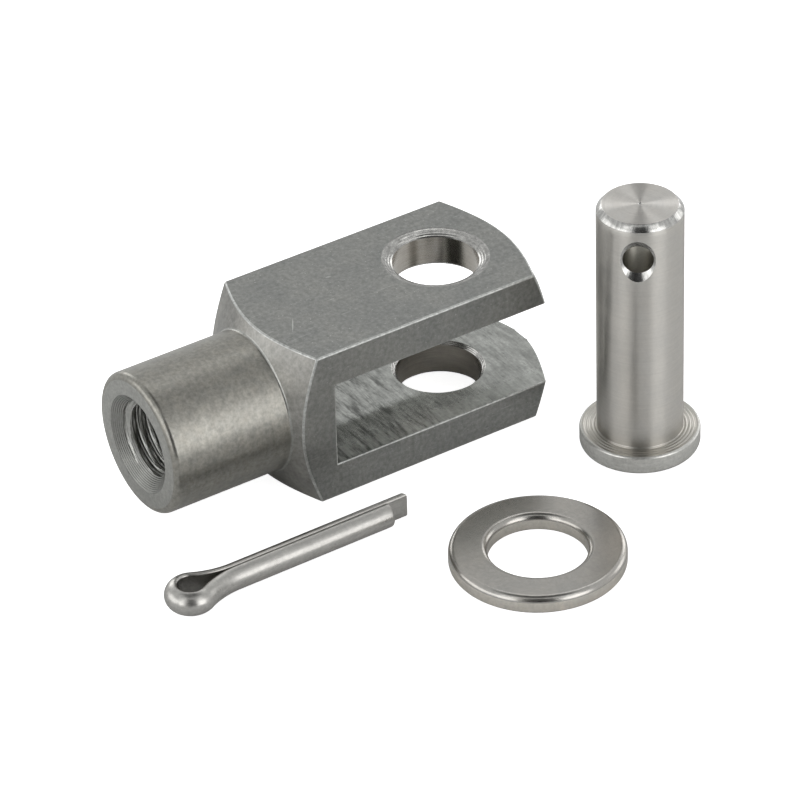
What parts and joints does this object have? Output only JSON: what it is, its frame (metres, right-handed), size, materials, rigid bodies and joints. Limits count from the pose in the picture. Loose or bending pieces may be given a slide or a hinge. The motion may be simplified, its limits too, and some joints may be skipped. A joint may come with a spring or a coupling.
{
  "type": "rod clevis",
  "caption": "Square fork head for a threaded rod, with a slot between two bored ears, laid out with its headed pin, plain washer and split pin.",
  "frame": {"origin": "centre of the cross bore, midway between the two ears of the fork head", "axes": "+Z along the cross bore, upwards off the floor; -X along the rod out of the thread's mouth; +X towards the ends of the ears; the loose pieces lie on the -Y side"},
  "size_m": [0.07, 0.0538, 0.033],
  "materials": {
    "fork_steel": "tumbled satin stainless steel",
    "pin_steel": "fine turned stainless steel",
    "washer_steel": "stamped and tumbled stainless steel",
    "wire_steel": "drawn half-round stainless wire"
  },
  "bodies": {
    "root": {"clevis_fork": "fork_steel", "clevis_pin": "pin_steel", "washer": "washer_steel", "split_pin": "wire_steel"}
  },
  "joints": []
}
